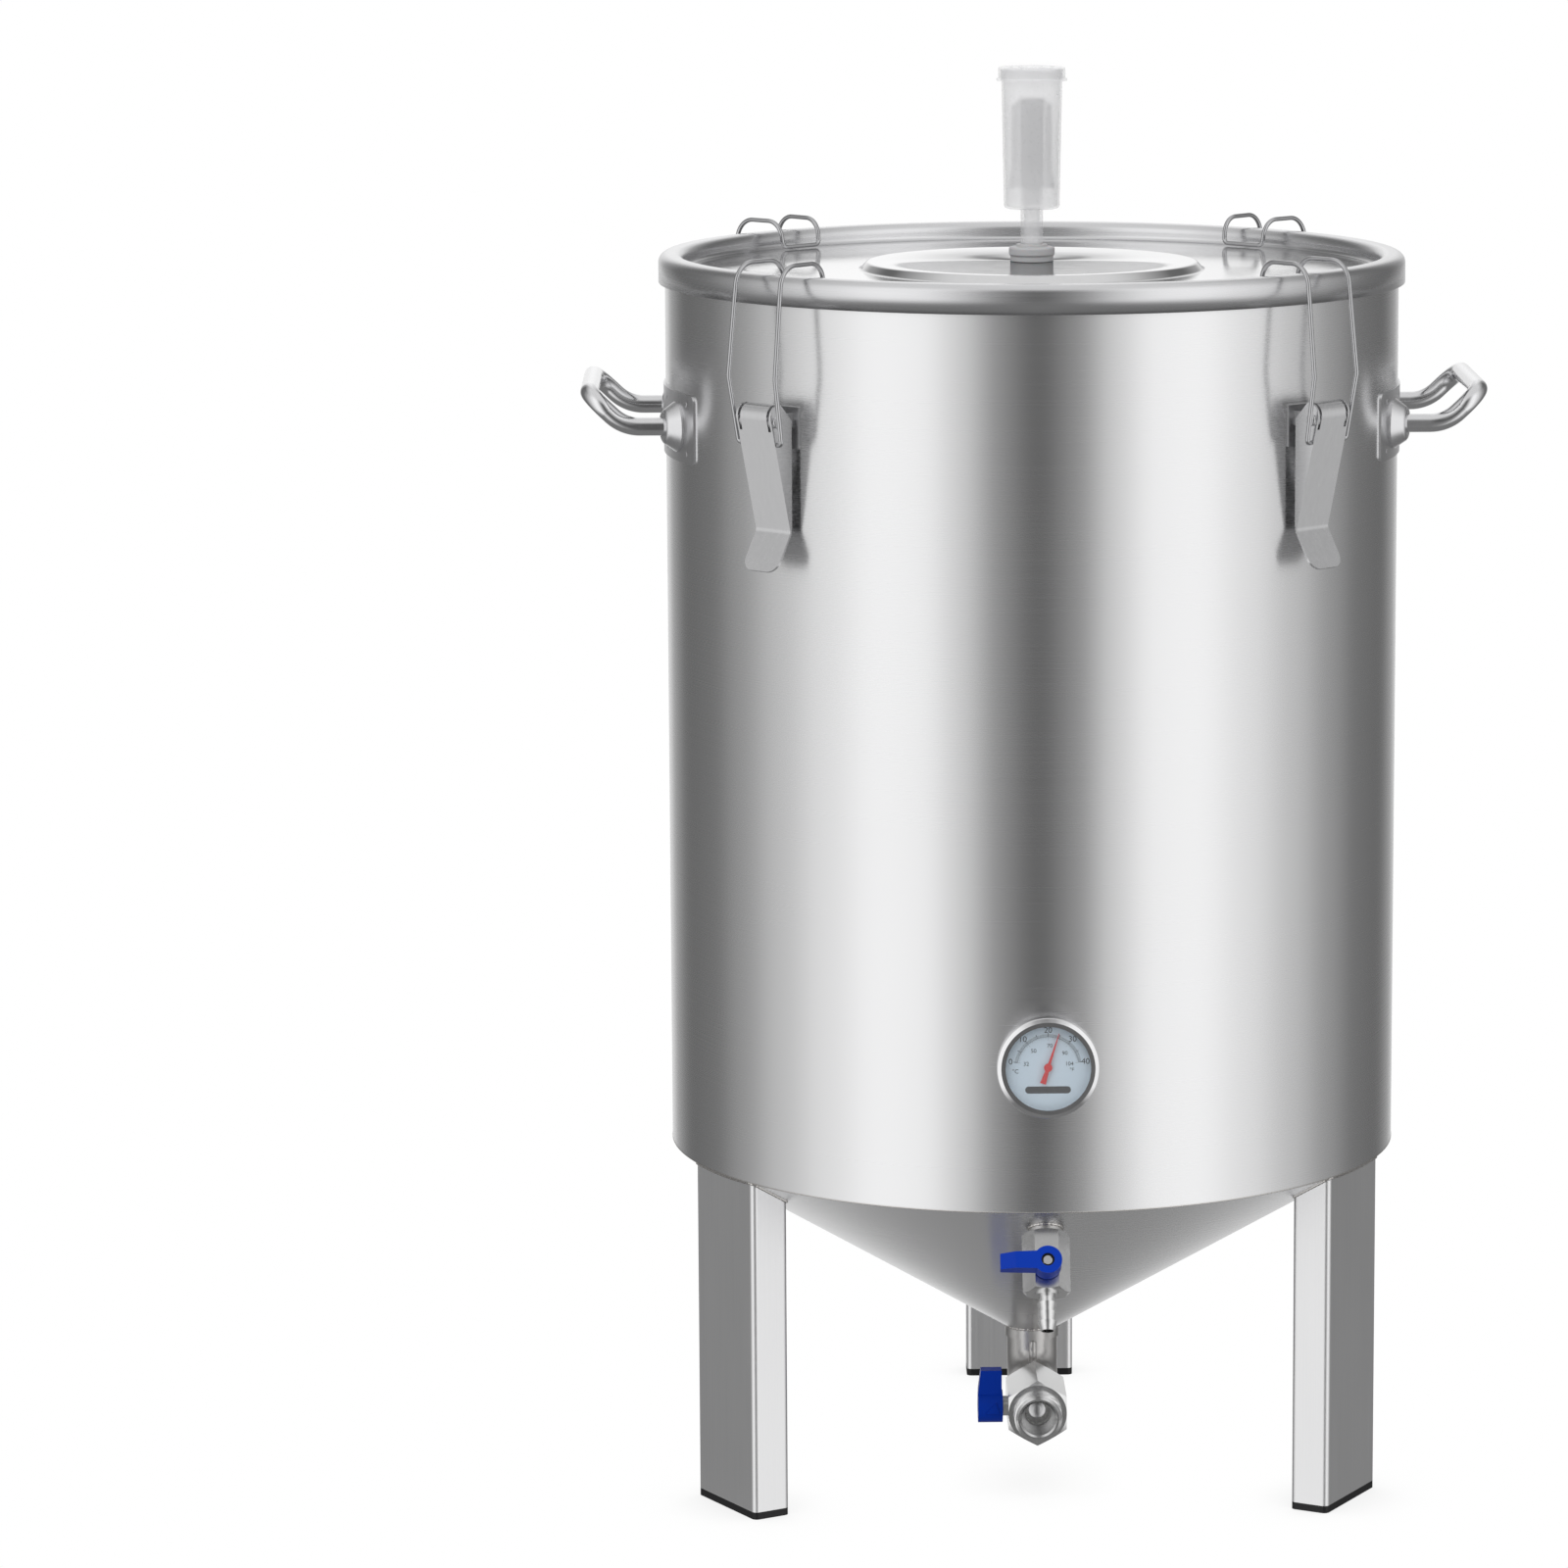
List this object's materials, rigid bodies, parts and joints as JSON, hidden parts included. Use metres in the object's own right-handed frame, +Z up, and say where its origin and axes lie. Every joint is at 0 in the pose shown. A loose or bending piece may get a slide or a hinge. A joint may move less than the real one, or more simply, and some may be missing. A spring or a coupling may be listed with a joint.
{
  "type": "conical fermenter",
  "caption": "Stainless conical fermenting vessel on three legs, with a clamped recessed lid, bubbler airlock, loop handles, dial thermometer, racking valve and dump valve.",
  "frame": {"origin": "on the floor, on the barrel's axis", "axes": "+Z up the barrel's axis, -Y to the front with the thermometer and valves, +X to the right-hand handle"},
  "size_m": [0.491, 0.4161, 0.7781],
  "materials": {
    "brushed_barrel": "circumferentially brushed stainless steel",
    "polished_lid": "mirror-polished stainless steel",
    "satin_steel": "satin stainless steel",
    "bright_steel": "bright polished stainless steel",
    "machined_steel": "machined and plated valve steel",
    "cast_steel": "bead-blasted cast stainless steel",
    "silicone": "matt grey silicone rubber",
    "frosted_plastic": "translucent white plastic",
    "blue_plastic": "glossy blue moulded plastic",
    "black_plastic": "matt black plastic",
    "white_ptfe": "white seal ring plastic",
    "dial_face": "pale blue-grey painted dial with a plain number scale",
    "red_pointer": "red paint",
    "glass": "clear flat glass"
  },
  "bodies": {
    "vessel": {"barrel": "brushed_barrel", "cone": "brushed_barrel", "dump_socket": "cast_steel", "racking_socket": "cast_steel", "clamp_pins": "bright_steel", "thermometer_case": "bright_steel", "thermometer_bezel": "bright_steel", "thermometer_dial": "dial_face", "thermometer_glass": "glass", "thermometer_probe": "bright_steel", "thermometer_washers": "silicone", "thermometer_nut": "bright_steel", "racking_valve_body": "machined_steel", "racking_seats": "white_ptfe", "racking_barb": "machined_steel", "dump_elbow": "cast_steel", "dump_valve_body": "machined_steel", "dump_seats": "white_ptfe", "dump_outlet": "machined_steel", "handle_plate_left": "satin_steel", "handle_rosettes_left": "satin_steel", "handle_loop_left": "bright_steel", "handle_plate_right": "satin_steel", "handle_rosettes_right": "satin_steel", "handle_loop_right": "bright_steel", "leg_left": "satin_steel", "foot_left": "black_plastic", "leg_right": "satin_steel", "foot_right": "black_plastic", "leg_rear": "satin_steel", "foot_rear": "black_plastic", "clamp_base_front_right": "satin_steel", "clamp_base_rear_right": "satin_steel", "clamp_base_rear_left": "satin_steel", "clamp_base_front_left": "satin_steel"},
    "lid": {"lid": "polished_lid", "lid_gasket": "silicone", "lid_bung": "silicone"},
    "airlock": {"airlock_body": "frosted_plastic"},
    "airlock_bell": {"airlock_bell": "frosted_plastic"},
    "airlock_cap": {"airlock_cap": "frosted_plastic"},
    "pointer": {"thermometer_pointer": "red_pointer", "thermometer_spindle": "bright_steel"},
    "racking_handle": {"racking_ball": "bright_steel", "racking_stem": "bright_steel", "racking_lever": "blue_plastic", "racking_screw": "bright_steel"},
    "dump_handle": {"dump_ball": "bright_steel", "dump_stem": "bright_steel", "dump_lever": "blue_plastic", "dump_screw": "bright_steel"},
    "lever_front_right": {"clamp_lever_front_right": "satin_steel"},
    "bail_front_right": {"clamp_bail_front_right": "bright_steel"},
    "lever_rear_right": {"clamp_lever_rear_right": "satin_steel"},
    "bail_rear_right": {"clamp_bail_rear_right": "bright_steel"},
    "lever_rear_left": {"clamp_lever_rear_left": "satin_steel"},
    "bail_rear_left": {"clamp_bail_rear_left": "bright_steel"},
    "lever_front_left": {"clamp_lever_front_left": "satin_steel"},
    "bail_front_left": {"clamp_bail_front_left": "bright_steel"}
  },
  "joints": [
    {"name": "lid_turn", "type": "hinge", "parent": "vessel", "child": "lid", "pos_m": [0, 0, 0.6715], "axis": [0, 0, 1], "continuous": true},
    {"name": "airlock_pull", "type": "slide", "parent": "lid", "child": "airlock", "axis": [0, 0, 1], "range_m": [0, 0.034]},
    {"name": "bell_float", "type": "slide", "parent": "airlock", "child": "airlock_bell", "axis": [0, 0, 1], "range_m": [0, 0.008]},
    {"name": "cap_lift", "type": "slide", "parent": "airlock", "child": "airlock_cap", "axis": [0, 0, 1], "range_m": [0, 0.02]},
    {"name": "pointer_turn", "type": "hinge", "parent": "vessel", "child": "pointer", "pos_m": [0, -0.208, 0.2677], "axis": [0, 1, 0], "range_deg": [-98.6, 63.4]},
    {"name": "racking_turn", "type": "hinge", "parent": "vessel", "child": "racking_handle", "pos_m": [0, -0.18842, 0.1523], "axis": [0, -0.8572, 0.515], "range_deg": [0, 90]},
    {"name": "dump_turn", "type": "hinge", "parent": "vessel", "child": "dump_handle", "pos_m": [0, -0.062, 0.04554], "axis": [1, 0, 0], "range_deg": [0, 90]},
    {"name": "clamp_open_front_right", "type": "hinge", "parent": "vessel", "child": "lever_front_right", "pos_m": [0.149, -0.1543, 0.603], "axis": [-0.7193, -0.6947, 0], "range_deg": [0, 100]},
    {"name": "bail_swing_front_right", "type": "hinge", "parent": "lever_front_right", "child": "bail_front_right", "pos_m": [0.14866, -0.15394, 0.591], "axis": [-0.7193, -0.6947, 0], "range_deg": [-95.6, 0]},
    {"name": "clamp_open_rear_right", "type": "hinge", "parent": "vessel", "child": "lever_rear_right", "pos_m": [0.149, 0.1543, 0.603], "axis": [0.7193, -0.6947, 0], "range_deg": [0, 100]},
    {"name": "bail_swing_rear_right", "type": "hinge", "parent": "lever_rear_right", "child": "bail_rear_right", "pos_m": [0.14866, 0.15394, 0.591], "axis": [0.7193, -0.6947, 0], "range_deg": [-95.6, 0]},
    {"name": "clamp_open_rear_left", "type": "hinge", "parent": "vessel", "child": "lever_rear_left", "pos_m": [-0.149, 0.1543, 0.603], "axis": [0.7193, 0.6947, 0], "range_deg": [0, 100]},
    {"name": "bail_swing_rear_left", "type": "hinge", "parent": "lever_rear_left", "child": "bail_rear_left", "pos_m": [-0.14866, 0.15394, 0.591], "axis": [0.7193, 0.6947, 0], "range_deg": [-95.6, 0]},
    {"name": "clamp_open_front_left", "type": "hinge", "parent": "vessel", "child": "lever_front_left", "pos_m": [-0.149, -0.1543, 0.603], "axis": [-0.7193, 0.6947, 0], "range_deg": [0, 100]},
    {"name": "bail_swing_front_left", "type": "hinge", "parent": "lever_front_left", "child": "bail_front_left", "pos_m": [-0.14866, -0.15394, 0.591], "axis": [-0.7193, 0.6947, 0], "range_deg": [-95.6, 0]}
  ],
  "couplings": [
    {"joint": "bail_swing_front_right", "follows": "clamp_open_front_right", "ratio": -0.955},
    {"joint": "bail_swing_rear_right", "follows": "clamp_open_rear_right", "ratio": -0.955},
    {"joint": "bail_swing_rear_left", "follows": "clamp_open_rear_left", "ratio": -0.955},
    {"joint": "bail_swing_front_left", "follows": "clamp_open_front_left", "ratio": -0.955}
  ]
}
